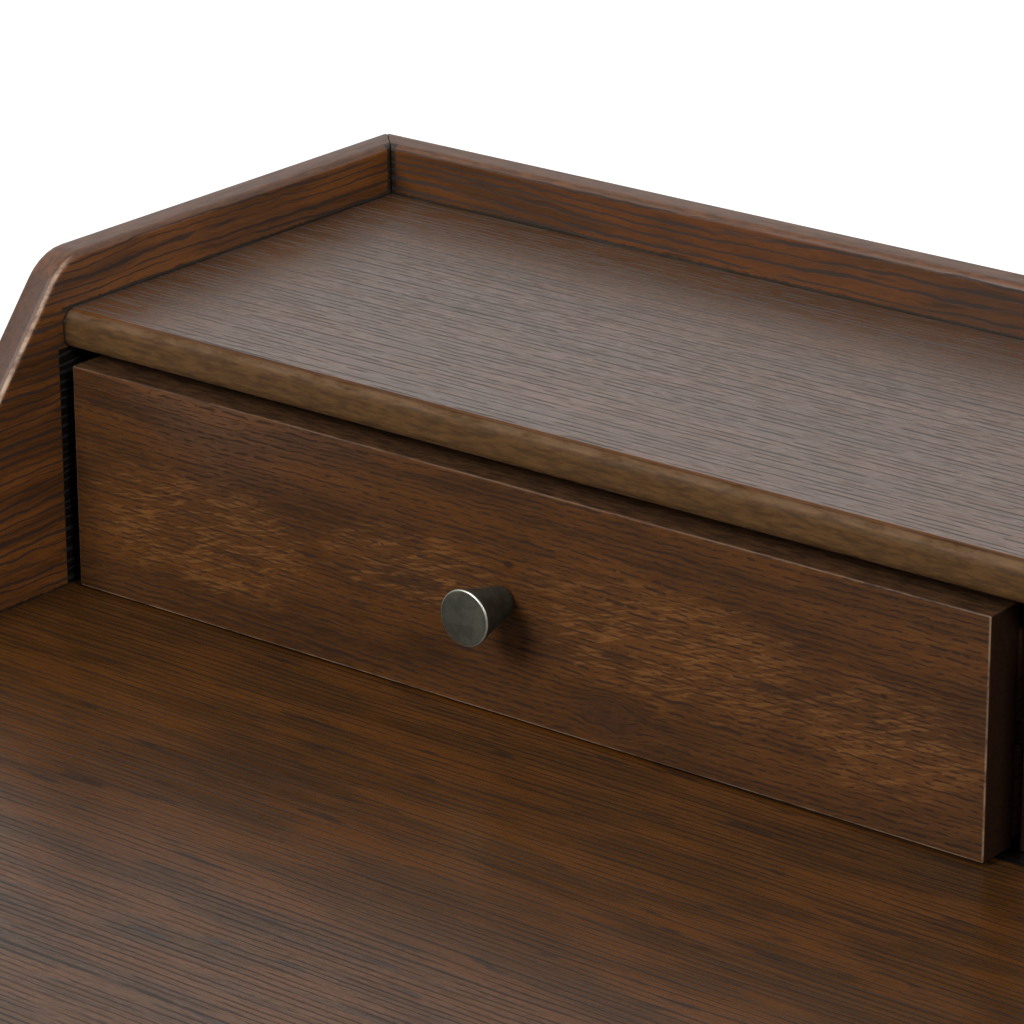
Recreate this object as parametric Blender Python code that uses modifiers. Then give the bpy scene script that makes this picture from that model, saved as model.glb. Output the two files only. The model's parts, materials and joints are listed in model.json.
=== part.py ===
"""Oak secretary desk: a writing surface with a raised gallery of two small drawers at the back, two
wide frieze drawers under it, and a frame of four tapered legs.

+X is the sitter's right, -Y the front and +Z up. The origin is on the floor, under the middle of the
desk. All values are in metres.
"""

import math

import bmesh
import bpy
from mathutils import Matrix, Vector

# Overall sizes.
WIDTH = 1.219  # over the side panels
DEPTH = 0.711  # front of the side panels to the rear face of the back panel
DESK_HEIGHT = 0.760  # floor to writing surface
GALLERY_RISE = 0.179  # writing surface to the top of the side and back panels
GALLERY_DEPTH = 0.268  # front plane of the gallery drawers to the back panel

# Boards.
PANEL_THICK = 0.019  # side and back panels
PANEL_ARRIS = 0.004
DESKTOP_THICK = 0.022
DESKTOP_SETBACK = 0.003  # behind the front edges of the side panels
SHELF_RISE = 0.1507  # writing surface to the top of the gallery shelf
SHELF_THICK = 0.0206
SHELF_SETBACK = 0.004  # behind the gallery drawers' front plane
BOARD_TOP_ROUND = 0.0075  # front edge of a horizontal board
BOARD_BOTTOM_ROUND = 0.0055
DIVIDER_THICK = 0.025
CASE_BOTTOM_THICK = 0.015
LIP_HEIGHT = 0.012  # side panel above the writing surface, at the front
LIP_NOSE_ROUND = 0.010
SLOPE_ANGLE = math.radians(51.2)  # the side panel's slope, from horizontal
SLOPE_CREST = 0.007  # where slope and top would meet, behind the gallery drawers' front plane
SLOPE_CREST_ROUND = 0.032
SLOPE_FOOT_ROUND = 0.045

# Drawers.
FRONT_THICK = 0.0245
FRONT_ARRIS = 0.0013
FRONT_GAP_OUTER = 0.0092  # drawer front to side panel
FRONT_GAP_INNER = 0.003  # drawer front to divider
FRONT_GAP_BELOW = 0.0016
FRONT_GAP_ABOVE = 0.0065
DIVIDER_STOP_GAP = 0.001  # closed drawer front to the divider behind it
FRIEZE_FRONT_HEIGHT = 0.080
FRIEZE_SETBACK = 0.006  # frieze drawers' front plane behind the side panels' front edges
GALLERY_BOX_REAR_GAP = 0.008  # closed drawer box to back panel
FRIEZE_BOX_REAR_GAP = 0.075
BOX_SIDE_THICK = 0.012
BOX_INSET = 0.001  # drawer side inside the end of its front
BOX_DROP = 0.014  # top of the drawer sides below the top of the front
BOX_LIFT = 0.004  # bottom of the drawer sides above the bottom of the front
BOX_BACK_THICK = 0.010
BOX_BACK_DROP = 0.006  # top of the drawer back below the top of its sides
BOX_BOTTOM_THICK = 0.005
BOX_BOTTOM_LIFT = 0.007  # underside of the bottom above the underside of the sides
BOX_GROOVE_DEPTH = 0.005
RUNNER_HEIGHT = 0.012
RUNNER_REACH = 0.006  # into the groove of a drawer side
RUNNER_CLEARANCE = 0.0006
RUNNER_FRONT_GAP = 0.0035  # closed drawer front to its runners

# Knobs and their screws.
KNOB_FACE_RADIUS = 0.0147
KNOB_BASE_RADIUS = 0.0078
KNOB_LENGTH = 0.030
KNOB_RIM_ROUND = 0.0009
KNOB_OFFSET = 0.002  # from the middle of the front, towards the divider
SCREW_RADIUS = 0.002
SCREW_HOLE_RADIUS = 0.0024
SCREW_HEAD_RADIUS = 0.0045
SCREW_HEAD_HEIGHT = 0.0026
SCREW_IN_KNOB = 0.013
KNOB_BORE_DEPTH = 0.015

# Leg frame.
LEG_TOP = 0.042
LEG_FOOT = 0.026
LEG_ARRIS = 0.002
LEG_INSET = 0.021  # legs inside the side panels' outer faces and the rear face
LEG_INSET_FRONT = 0.032
RAIL_HEIGHT = 0.038
RAIL_THICK = 0.018
RAIL_SETBACK = 0.003  # rails behind the legs' outer faces
TENON_SHOULDER = 0.006
TENON_REST = 0.003  # wood left between the two tenons in a leg
GLIDE_RADIUS = 0.010
GLIDE_HEIGHT = 0.004

GAP = 0.0003  # between pieces that touch
ARC_STEP = math.radians(11.25)
TURNED_STEPS = 40
SMALL_TURNED_STEPS = 16

# Places that follow from the sizes.
KNOB_REACH = KNOB_LENGTH - FRIEZE_SETBACK  # frieze knobs in front of the side panels
FRONT_Y = (KNOB_REACH - DEPTH) / 2
BACK_Y = FRONT_Y + DEPTH
BACK_FACE_Y = BACK_Y - PANEL_THICK
SIDE_FACE_X = WIDTH / 2 - PANEL_THICK
GALLERY_FRONT_Y = BACK_FACE_Y - GALLERY_DEPTH
FRIEZE_FRONT_Y = FRONT_Y + FRIEZE_SETBACK
GALLERY_TOP_Z = DESK_HEIGHT + GALLERY_RISE
SHELF_TOP_Z = DESK_HEIGHT + SHELF_RISE
SHELF_UNDER_Z = SHELF_TOP_Z - SHELF_THICK
DESKTOP_UNDER_Z = DESK_HEIGHT - DESKTOP_THICK
CASE_FLOOR_Z = DESKTOP_UNDER_Z - FRONT_GAP_ABOVE - FRIEZE_FRONT_HEIGHT - FRONT_GAP_BELOW
CASE_UNDER_Z = CASE_FLOOR_Z - CASE_BOTTOM_THICK
DIVIDER_SETBACK = FRONT_THICK + DIVIDER_STOP_GAP
FRAME_TOP_Z = CASE_UNDER_Z - GAP
RAIL_UNDER_Z = FRAME_TOP_Z - RAIL_HEIGHT
TENON_LENGTH = LEG_TOP - RAIL_SETBACK - RAIL_THICK - TENON_REST


def make_collection(name):
    collection = bpy.data.collections.new(name)
    bpy.context.scene.collection.children.link(collection)
    return collection


def make_material(name, colour, roughness, metallic=0.0):
    material = bpy.data.materials.new(name)
    material.use_nodes = True
    shader = material.node_tree.nodes["Principled BSDF"]
    shader.inputs["Base Color"].default_value = (*colour, 1.0)
    shader.inputs["Roughness"].default_value = roughness
    shader.inputs["Metallic"].default_value = metallic
    material.diffuse_color = (*colour, 1.0)
    return material


def add_object(name, mesh, collection, parent=None):
    """Links a new object. Its location is set in world space, whatever its parent."""
    obj = bpy.data.objects.new(name, mesh)
    collection.objects.link(obj)
    if parent:
        obj.parent = parent
        obj.matrix_parent_inverse.translation = -parent.location
    return obj


def cube_mesh(name, size):
    mesh = bpy.data.meshes.new(name)
    form = bmesh.new()
    bmesh.ops.create_cube(form, size=1.0)
    bmesh.ops.scale(form, vec=size, verts=form.verts)
    form.to_mesh(mesh)
    form.free()
    return mesh


def ease_edges(obj, width, segments=2):
    bevel = obj.modifiers.new("arris", "BEVEL")
    bevel.width = width
    bevel.segments = segments
    bevel.limit_method = "ANGLE"
    bevel.angle_limit = math.radians(40)
    obj.data.shade_smooth()
    obj.data.set_sharp_from_angle(angle=math.radians(50))


def board(name, low, high, material, parent=None, arris=0.0):
    """A rectangular board between two opposite corners."""
    low, high = Vector(low), Vector(high)
    obj = add_object(name, cube_mesh(name, high - low), desk, parent)
    obj.location = (low + high) / 2
    obj.data.materials.append(material)
    if arris:
        ease_edges(obj, arris)
    return obj


def hide_cutter(obj):
    obj.hide_render = True
    obj.display_type = "WIRE"


def box_cutter(name, low, high, turn=0.0):
    """A box that cuts. It turns about the vertical line through its low corner."""
    low, high = Vector(low), Vector(high)
    mesh = cube_mesh(name, high - low)
    for vertex in mesh.vertices:
        vertex.co += (high - low) / 2
    obj = add_object(name, mesh, cutters)
    obj.location = low
    obj.rotation_euler.z = turn
    hide_cutter(obj)
    return obj


def rod_cutter(name, centre_x, centre_z, low_y, high_y, radius):
    """A cylinder along Y that cuts."""
    mesh = bpy.data.meshes.new(name)
    form = bmesh.new()
    bmesh.ops.create_cone(
        form, cap_ends=True, segments=SMALL_TURNED_STEPS, radius1=radius, radius2=radius, depth=high_y - low_y
    )
    form.to_mesh(mesh)
    form.free()
    obj = add_object(name, mesh, cutters)
    obj.location = (centre_x, (low_y + high_y) / 2, centre_z)
    obj.rotation_euler.x = math.pi / 2
    hide_cutter(obj)
    return obj


def cut(obj, *tools):
    for tool in tools:
        boolean = obj.modifiers.new(tool.name, "BOOLEAN")
        boolean.operation = "DIFFERENCE"
        boolean.solver = "EXACT"
        boolean.object = tool


def rounded_outline(corners):
    """The points of a closed outline, from (u, v, radius) corners."""
    points = []
    for index, (u, v, radius) in enumerate(corners):
        corner = Vector((u, v))
        if not radius:
            points.append(corner)
            continue
        back = (Vector(corners[index - 1][:2]) - corner).normalized()
        ahead = (Vector(corners[(index + 1) % len(corners)][:2]) - corner).normalized()
        half = back.angle(ahead) / 2
        middle = corner + (back + ahead).normalized() * radius / math.sin(half)
        start = corner + back * radius / math.tan(half) - middle
        end = corner + ahead * radius / math.tan(half) - middle
        clockwise = start.angle_signed(end)
        steps = math.ceil(abs(clockwise) / ARC_STEP)
        turns = [Matrix.Rotation(-clockwise * step / steps, 2) for step in range(steps + 1)]
        points += [middle + turn @ start for turn in turns]
    return points


def outline_board(name, points, along, low, high, material, parent=None):
    """An outline swept along X, when its points are (y, z), or along Y, when they are (x, z)."""
    curve = bpy.data.curves.new(name, "CURVE")
    curve.dimensions = "2D"
    curve.fill_mode = "BOTH"
    curve.extrude = (high - low) / 2
    spline = curve.splines.new("POLY")
    spline.points.add(len(points) - 1)
    for place, (u, v) in zip(spline.points, points):
        place.co = (u, v, 0.0, 1.0)
    spline.use_cyclic_u = True
    guide = add_object(name + "_outline", curve, desk)
    bpy.context.view_layer.update()
    mesh = bpy.data.meshes.new_from_object(guide.evaluated_get(bpy.context.evaluated_depsgraph_get()))
    mesh.name = name
    bpy.data.objects.remove(guide)
    bpy.data.curves.remove(curve)
    form = bmesh.new()
    form.from_mesh(mesh)
    bmesh.ops.remove_doubles(form, verts=form.verts, dist=0.00001)
    bmesh.ops.dissolve_limit(form, angle_limit=0.001, verts=form.verts, edges=form.edges)
    bmesh.ops.recalc_face_normals(form, faces=form.faces)
    form.to_mesh(mesh)
    form.free()
    obj = add_object(name, mesh, desk, parent)
    middle = (low + high) / 2
    if along == "X":
        obj.rotation_euler = (math.pi / 2, 0.0, math.pi / 2)
        obj.location.x = middle
    else:
        obj.rotation_euler.x = math.pi / 2
        obj.location.y = middle
    mesh.materials.clear()
    mesh.materials.append(material)
    mesh.shade_smooth()
    mesh.set_sharp_from_angle(angle=math.radians(30))
    return obj


def turned(name, profile, location, steps, material, parent):
    """A profile of (radius, height) points, from top to bottom, turned about an axis that points forward."""
    mesh = bpy.data.meshes.new(name)
    form = bmesh.new()
    line = [form.verts.new((radius, 0.0, height)) for radius, height in profile]
    for first, second in zip(line, line[1:]):
        form.edges.new((first, second))
    form.to_mesh(mesh)
    form.free()
    obj = add_object(name, mesh, desk, parent)
    obj.location = location
    obj.rotation_euler.x = math.pi / 2
    screw = obj.modifiers.new("turn", "SCREW")
    screw.steps = steps
    screw.render_steps = steps
    screw.use_merge_vertices = True
    screw.merge_threshold = 0.00001
    screw.use_smooth_shade = True
    mesh.materials.append(material)
    return obj


def mitre_cutter(name, side, keep_panel):
    """A box whose face lies on the mitre of a rear corner, clear of the piece that is kept."""
    reach = WIDTH
    corner = Vector((side * WIDTH / 2, BACK_Y, CASE_UNDER_Z - PANEL_THICK))
    along = Vector((-side, -1.0, 0.0)).normalized()
    away = Vector((-side, 1.0, 0.0)).normalized() * (1 if keep_panel else -1)
    start = corner - along * reach / 2 - away * GAP / 2
    if along.cross(away).z < 0:
        start += away * reach
        away = -away
    height = Vector((reach, reach, GALLERY_TOP_Z - CASE_UNDER_Z + 2 * PANEL_THICK))
    return box_cutter(name, start, start + height, math.atan2(along.y, along.x))


def make_side_panel(name, side):
    """A side panel: level behind, sloping down to a low lip at the front, mitred to the back panel."""
    crest_y = GALLERY_FRONT_Y + SLOPE_CREST
    lip_z = DESK_HEIGHT + LIP_HEIGHT
    foot_y = crest_y - (GALLERY_TOP_Z - lip_z) / math.tan(SLOPE_ANGLE)
    corners = [
        (FRONT_Y, CASE_UNDER_Z, 0.0),
        (BACK_Y, CASE_UNDER_Z, 0.0),
        (BACK_Y, GALLERY_TOP_Z, 0.0),
        (crest_y, GALLERY_TOP_Z, SLOPE_CREST_ROUND),
        (foot_y, lip_z, SLOPE_FOOT_ROUND),
        (FRONT_Y, lip_z, LIP_NOSE_ROUND),
    ]
    faces = sorted((side * SIDE_FACE_X, side * WIDTH / 2))
    panel = outline_board(name, rounded_outline(corners), "X", *faces, side_oak)
    ease_edges(panel, PANEL_ARRIS, segments=3)
    cut(panel, mitre_cutter(name + "_mitre", side, keep_panel=True))


def make_back_panel():
    low = (-WIDTH / 2, BACK_FACE_Y, CASE_UNDER_Z)
    high = (WIDTH / 2, BACK_Y, GALLERY_TOP_Z)
    panel = board("back_panel", low, high, back_oak)
    ease_edges(panel, PANEL_ARRIS, segments=3)
    cut(
        panel,
        mitre_cutter("back_panel_mitre_left", -1, keep_panel=False),
        mitre_cutter("back_panel_mitre_right", 1, keep_panel=False),
    )


def level_board(name, front_y, under_z, top_z, material):
    """A board from side to side with a rounded front edge, against the back panel."""
    corners = [
        (front_y, under_z, BOARD_BOTTOM_ROUND),
        (BACK_FACE_Y - GAP, under_z, 0.0),
        (BACK_FACE_Y - GAP, top_z, 0.0),
        (front_y, top_z, BOARD_TOP_ROUND),
    ]
    reach = SIDE_FACE_X - GAP
    outline_board(name, rounded_outline(corners), "X", -reach, reach, material)


def divider(name, front_y, floor_z, ceiling_z):
    low = (-DIVIDER_THICK / 2, front_y + DIVIDER_SETBACK, floor_z + GAP)
    high = (DIVIDER_THICK / 2, BACK_FACE_Y - GAP, ceiling_z - GAP)
    board(name, low, high, case_oak)


def drawer_side(name, outer_x, inward, start_y, end_y, low_z, high_z, parent):
    """A drawer side with a groove outside for its runner and one inside for the drawer bottom."""
    runner_low, runner_high = runner_span(low_z, high_z)
    bottom_low = low_z + BOX_BOTTOM_LIFT - GAP
    bottom_high = low_z + BOX_BOTTOM_LIFT + BOX_BOTTOM_THICK + GAP
    inner_x = outer_x + inward * BOX_SIDE_THICK
    groove_x = outer_x + inward * (RUNNER_REACH + RUNNER_CLEARANCE)
    bottom_x = inner_x - inward * BOX_GROOVE_DEPTH
    points = [
        (outer_x, low_z),
        (inner_x, low_z),
        (inner_x, bottom_low),
        (bottom_x, bottom_low),
        (bottom_x, bottom_high),
        (inner_x, bottom_high),
        (inner_x, high_z),
        (outer_x, high_z),
        (outer_x, runner_high + RUNNER_CLEARANCE),
        (groove_x, runner_high + RUNNER_CLEARANCE),
        (groove_x, runner_low - RUNNER_CLEARANCE),
        (outer_x, runner_low - RUNNER_CLEARANCE),
    ]
    outline_board(name, points, "Y", start_y, end_y, drawer_wood, parent)


def runner_span(low_z, high_z):
    """The heights of the underside and top of the runners for drawer sides of these heights."""
    middle = (low_z + high_z) / 2
    return middle - RUNNER_HEIGHT / 2, middle + RUNNER_HEIGHT / 2


def make_knob(name, x, front_y, z, parent):
    """A conical knob with a blind bore, and the screw that holds it from inside the drawer."""
    knob_profile = [
        (0.0, KNOB_LENGTH),
        (KNOB_FACE_RADIUS - KNOB_RIM_ROUND, KNOB_LENGTH),
        (KNOB_FACE_RADIUS, KNOB_LENGTH - KNOB_RIM_ROUND),
        (KNOB_BASE_RADIUS, GAP),
        (SCREW_HOLE_RADIUS, GAP),
        (SCREW_HOLE_RADIUS, KNOB_BORE_DEPTH),
        (0.0, KNOB_BORE_DEPTH),
    ]
    head_z = -FRONT_THICK - GAP
    screw_profile = [
        (0.0, SCREW_IN_KNOB),
        (SCREW_RADIUS, SCREW_IN_KNOB),
        (SCREW_RADIUS, head_z),
        (SCREW_HEAD_RADIUS, head_z),
        (SCREW_HEAD_RADIUS, head_z - SCREW_HEAD_HEIGHT * 0.6),
        (SCREW_HEAD_RADIUS * 0.7, head_z - SCREW_HEAD_HEIGHT),
        (0.0, head_z - SCREW_HEAD_HEIGHT),
    ]
    place = (x, front_y, z)
    turned(name + "_knob", knob_profile, place, TURNED_STEPS, dark_metal, parent)
    turned(name + "_knob_screw", screw_profile, place, SMALL_TURNED_STEPS, screw_steel, parent)


def make_drawer(name, side, front_y, floor_z, ceiling_z, box_rear_y):
    """One drawer and its two runners. The drawer hangs on an empty at the middle of its front."""
    walls = {side: side * SIDE_FACE_X, -side: side * DIVIDER_THICK / 2}
    edges = {side: walls[side] - side * FRONT_GAP_OUTER, -side: walls[-side] + side * FRONT_GAP_INNER}
    left_x, right_x = edges[-1], edges[1]
    low_z = floor_z + FRONT_GAP_BELOW
    high_z = ceiling_z - FRONT_GAP_ABOVE
    middle_x, middle_z = (left_x + right_x) / 2, (low_z + high_z) / 2
    knob_x = middle_x - side * KNOB_OFFSET
    rear_face_y = front_y + FRONT_THICK

    slide = bpy.data.objects.new(name + "_slide", None)
    desk.objects.link(slide)
    slide.location = (middle_x, front_y, middle_z)

    box_low_z = low_z + BOX_LIFT
    box_high_z = high_z - BOX_DROP
    box_start_y = rear_face_y + GAP
    bottom_z = box_low_z + BOX_BOTTOM_LIFT
    bottom_top_z = bottom_z + BOX_BOTTOM_THICK
    side_left_x = left_x + BOX_INSET
    side_right_x = right_x - BOX_INSET
    inner_left_x = side_left_x + BOX_SIDE_THICK
    inner_right_x = side_right_x - BOX_SIDE_THICK
    groove = BOX_GROOVE_DEPTH

    front = board(name + "_front", (left_x, front_y, low_z), (right_x, rear_face_y, high_z), front_oak, slide)
    ease_edges(front, FRONT_ARRIS)
    groove_cutter = box_cutter(
        name + "_front_groove",
        (inner_left_x - groove, rear_face_y - groove, bottom_z - GAP),
        (inner_right_x + groove, rear_face_y + groove, bottom_top_z + GAP),
    )
    hole_ends = front_y - FRONT_THICK, rear_face_y + FRONT_THICK
    hole_cutter = rod_cutter(name + "_front_hole", knob_x, middle_z, *hole_ends, SCREW_HOLE_RADIUS)
    cut(front, groove_cutter, hole_cutter)

    for label, outer_x, inward in (("left", side_left_x, 1), ("right", side_right_x, -1)):
        side_name = name + "_side_" + label
        drawer_side(side_name, outer_x, inward, box_start_y, box_rear_y, box_low_z, box_high_z, slide)
    board(
        name + "_back",
        (inner_left_x + GAP, box_rear_y - BOX_BACK_THICK, bottom_top_z + GAP),
        (inner_right_x - GAP, box_rear_y, box_high_z - BOX_BACK_DROP),
        drawer_wood,
        slide,
    )
    board(
        name + "_bottom",
        (inner_left_x - groove + GAP, rear_face_y - groove + GAP, bottom_z),
        (inner_right_x + groove - GAP, box_rear_y, bottom_top_z),
        drawer_board,
        slide,
    )
    make_knob(name, knob_x, front_y, middle_z, slide)

    runner_low, runner_high = runner_span(box_low_z, box_high_z)
    for label, hand in (("left", -1), ("right", 1)):
        wall_x = walls[hand] - hand * GAP
        tip_x = edges[hand] - hand * (BOX_INSET + RUNNER_REACH)
        near_x, far_x = sorted((wall_x, tip_x))
        board(
            name + "_runner_" + label,
            (near_x, front_y + FRONT_THICK + RUNNER_FRONT_GAP, runner_low),
            (far_x, box_rear_y, runner_high),
            runner_wood,
        )


def make_leg(name, outer_x, outer_y, side, end):
    """A square leg, straight beside the rails and tapered below them, with a mortise for each rail."""
    inner_x, inner_y = outer_x - side * LEG_TOP, outer_y - end * LEG_TOP
    low = Vector((min(outer_x, inner_x), min(outer_y, inner_y), GLIDE_HEIGHT + GAP))
    high = Vector((max(outer_x, inner_x), max(outer_y, inner_y), FRAME_TOP_Z))
    leg = board(name, low, high, frame_oak)
    form = bmesh.new()
    form.from_mesh(leg.data)
    shoulder = RAIL_UNDER_Z - leg.location.z
    everything = form.verts[:] + form.edges[:] + form.faces[:]
    bmesh.ops.bisect_plane(form, geom=everything, plane_co=(0, 0, shoulder), plane_no=(0, 0, 1))
    foot = [vertex for vertex in form.verts if vertex.co.z < shoulder - LEG_ARRIS]
    share = LEG_FOOT / LEG_TOP
    bmesh.ops.scale(form, vec=(share, share, 1.0), verts=foot)
    form.to_mesh(leg.data)
    form.free()
    ease_edges(leg, LEG_ARRIS)
    depth = TENON_LENGTH + GAP
    tenon_low, tenon_high = RAIL_UNDER_Z + TENON_SHOULDER - GAP, FRAME_TOP_Z - TENON_SHOULDER + GAP
    near, far = RAIL_SETBACK - GAP, RAIL_SETBACK + RAIL_THICK + GAP
    xs = sorted((inner_x - side * depth, inner_x + side * depth))
    ys = sorted((outer_y - end * near, outer_y - end * far))
    long_mortise = box_cutter(name + "_long_mortise", (xs[0], ys[0], tenon_low), (xs[1], ys[1], tenon_high))
    xs = sorted((outer_x - side * near, outer_x - side * far))
    ys = sorted((inner_y - end * depth, inner_y + end * depth))
    side_mortise = box_cutter(name + "_side_mortise", (xs[0], ys[0], tenon_low), (xs[1], ys[1], tenon_high))
    cut(leg, long_mortise, side_mortise)


def make_glide(name, x, y):
    mesh = bpy.data.meshes.new(name)
    form = bmesh.new()
    bmesh.ops.create_cone(
        form, cap_ends=True, segments=24, radius1=GLIDE_RADIUS, radius2=GLIDE_RADIUS, depth=GLIDE_HEIGHT
    )
    form.to_mesh(mesh)
    form.free()
    glide = add_object(name, mesh, desk)
    glide.location = (x, y, GLIDE_HEIGHT / 2)
    mesh.materials.append(glide_plastic)
    mesh.shade_smooth()
    mesh.set_sharp_from_angle(angle=math.radians(30))


def make_rail(name, along, low, high, near, far):
    """A rail with a tenon at each end. low and high are the legs' faces that its shoulders meet."""
    shoulders = low + GAP, high - GAP
    ends = shoulders[0] - TENON_LENGTH, shoulders[1] + TENON_LENGTH
    tenon_low, tenon_high = RAIL_UNDER_Z + TENON_SHOULDER, FRAME_TOP_Z - TENON_SHOULDER
    points = [
        (shoulders[0], RAIL_UNDER_Z),
        (shoulders[1], RAIL_UNDER_Z),
        (shoulders[1], tenon_low),
        (ends[1], tenon_low),
        (ends[1], tenon_high),
        (shoulders[1], tenon_high),
        (shoulders[1], FRAME_TOP_Z),
        (shoulders[0], FRAME_TOP_Z),
        (shoulders[0], tenon_high),
        (ends[0], tenon_high),
        (ends[0], tenon_low),
        (shoulders[0], tenon_low),
    ]
    outline_board(name, points, along, *sorted((near, far)), frame_oak)


def make_leg_frame():
    leg_x = WIDTH / 2 - LEG_INSET
    leg_ys = {-1: FRONT_Y + LEG_INSET_FRONT, 1: BACK_Y - LEG_INSET}
    for end, end_name in ((-1, "front"), (1, "back")):
        outer_y = leg_ys[end]
        for side, side_name in ((-1, "left"), (1, "right")):
            make_leg(f"leg_{end_name}_{side_name}", side * leg_x, outer_y, side, end)
            centre = side * (leg_x - LEG_TOP / 2), outer_y - end * LEG_TOP / 2
            make_glide(f"glide_{end_name}_{side_name}", *centre)
        near_y = outer_y - end * RAIL_SETBACK
        faces = LEG_TOP - leg_x, leg_x - LEG_TOP
        make_rail(f"rail_{end_name}", "Y", *faces, near_y, near_y - end * RAIL_THICK)
    for side, side_name in ((-1, "left"), (1, "right")):
        near_x = side * (leg_x - RAIL_SETBACK)
        faces = leg_ys[-1] + LEG_TOP, leg_ys[1] - LEG_TOP
        make_rail(f"rail_{side_name}", "X", *faces, near_x, near_x - side * RAIL_THICK)


def make_case():
    make_side_panel("side_panel_left", -1)
    make_side_panel("side_panel_right", 1)
    make_back_panel()
    level_board("desktop", FRONT_Y + DESKTOP_SETBACK, DESKTOP_UNDER_Z, DESK_HEIGHT, desktop_oak)
    level_board("gallery_shelf", GALLERY_FRONT_Y + SHELF_SETBACK, SHELF_UNDER_Z, SHELF_TOP_Z, shelf_oak)
    level_board("case_bottom", FRIEZE_FRONT_Y + SHELF_SETBACK, CASE_UNDER_Z, CASE_FLOOR_Z, case_oak)
    divider("gallery_divider", GALLERY_FRONT_Y, DESK_HEIGHT, SHELF_UNDER_Z)
    divider("case_divider", FRIEZE_FRONT_Y, CASE_FLOOR_Z, DESKTOP_UNDER_Z)


def make_drawers():
    gallery_bay = GALLERY_FRONT_Y, DESK_HEIGHT, SHELF_UNDER_Z, BACK_FACE_Y - GALLERY_BOX_REAR_GAP
    frieze_bay = FRIEZE_FRONT_Y, CASE_FLOOR_Z, DESKTOP_UNDER_Z, BACK_FACE_Y - FRIEZE_BOX_REAR_GAP
    for side, label in ((-1, "left"), (1, "right")):
        make_drawer(f"gallery_drawer_{label}", side, *gallery_bay)
        make_drawer(f"frieze_drawer_{label}", side, *frieze_bay)


for old in list(bpy.data.objects):
    bpy.data.objects.remove(old)

desk = make_collection("secretary_desk")
cutters = make_collection("cutters")

side_oak = make_material("side_panel_oak", (0.120, 0.044, 0.016), 0.42)
back_oak = make_material("back_panel_oak", (0.105, 0.038, 0.015), 0.42)
desktop_oak = make_material("desktop_oak", (0.090, 0.040, 0.017), 0.38)
shelf_oak = make_material("shelf_oak", (0.085, 0.042, 0.020), 0.38)
front_oak = make_material("drawer_front_oak", (0.090, 0.036, 0.015), 0.42)
case_oak = make_material("case_oak", (0.080, 0.034, 0.014), 0.45)
frame_oak = make_material("leg_frame_oak", (0.088, 0.036, 0.015), 0.42)
drawer_wood = make_material("drawer_box_oak", (0.085, 0.040, 0.018), 0.55)
drawer_board = make_material("drawer_bottom_board", (0.100, 0.050, 0.023), 0.60)
runner_wood = make_material("runner_hardwood", (0.070, 0.034, 0.016), 0.50)
dark_metal = make_material("gunmetal", (0.085, 0.085, 0.075), 0.38, metallic=0.9)
screw_steel = make_material("screw_steel", (0.420, 0.410, 0.390), 0.35, metallic=1.0)
glide_plastic = make_material("glide_plastic", (0.050, 0.045, 0.040), 0.60)

make_case()
make_drawers()
make_leg_frame()
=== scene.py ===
"""Looks of the oak secretary desk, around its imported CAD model.

Lengths are in metres, apart from the wood's grain space, which is in millimetres. Colours are linear.
+X is the sitter's right, -Y the front and +Z up.
"""

import json
import math

import bmesh
import bpy
from mathutils import Matrix, Vector


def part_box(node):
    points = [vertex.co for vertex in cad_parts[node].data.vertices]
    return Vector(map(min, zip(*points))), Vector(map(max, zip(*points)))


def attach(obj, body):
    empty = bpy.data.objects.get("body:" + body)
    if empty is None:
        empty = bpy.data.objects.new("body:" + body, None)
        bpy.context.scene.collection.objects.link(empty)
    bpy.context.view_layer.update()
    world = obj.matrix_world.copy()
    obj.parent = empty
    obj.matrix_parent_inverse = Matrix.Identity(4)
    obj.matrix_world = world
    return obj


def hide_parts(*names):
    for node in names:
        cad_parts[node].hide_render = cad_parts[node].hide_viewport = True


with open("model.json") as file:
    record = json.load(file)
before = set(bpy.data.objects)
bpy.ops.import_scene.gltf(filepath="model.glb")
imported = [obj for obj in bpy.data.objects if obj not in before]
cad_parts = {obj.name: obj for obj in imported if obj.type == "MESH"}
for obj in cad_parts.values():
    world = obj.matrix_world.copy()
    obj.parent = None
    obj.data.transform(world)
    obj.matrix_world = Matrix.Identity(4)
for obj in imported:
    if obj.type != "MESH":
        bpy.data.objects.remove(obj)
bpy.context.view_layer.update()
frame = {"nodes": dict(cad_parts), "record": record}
nodes = frame["nodes"]
body_of_node = {
    node: body for body, members in frame["record"]["behaviour"]["bodies"].items() for node in members
}

SIDES = ("left", "right")
ENDS = ("front", "back")
DRAWERS = [f"{row}_drawer_{side}" for row in ("gallery", "frieze") for side in SIDES]
X, Y, Z = range(3)
MM = 1000.0

# The camera that took the photo.
CAMERA_PLACE = Vector((1.0666, -1.6106, 1.6840))
CAMERA_AZIMUTH = 38.743  # degrees; 0 looks along +Y
CAMERA_PITCH = 20.578  # degrees below the horizon
CAMERA_ROLL = -0.246
CAMERA_LENS = 168.99
CAMERA_SENSOR = 36.0
CAMERA_REACH = 100.0

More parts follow.
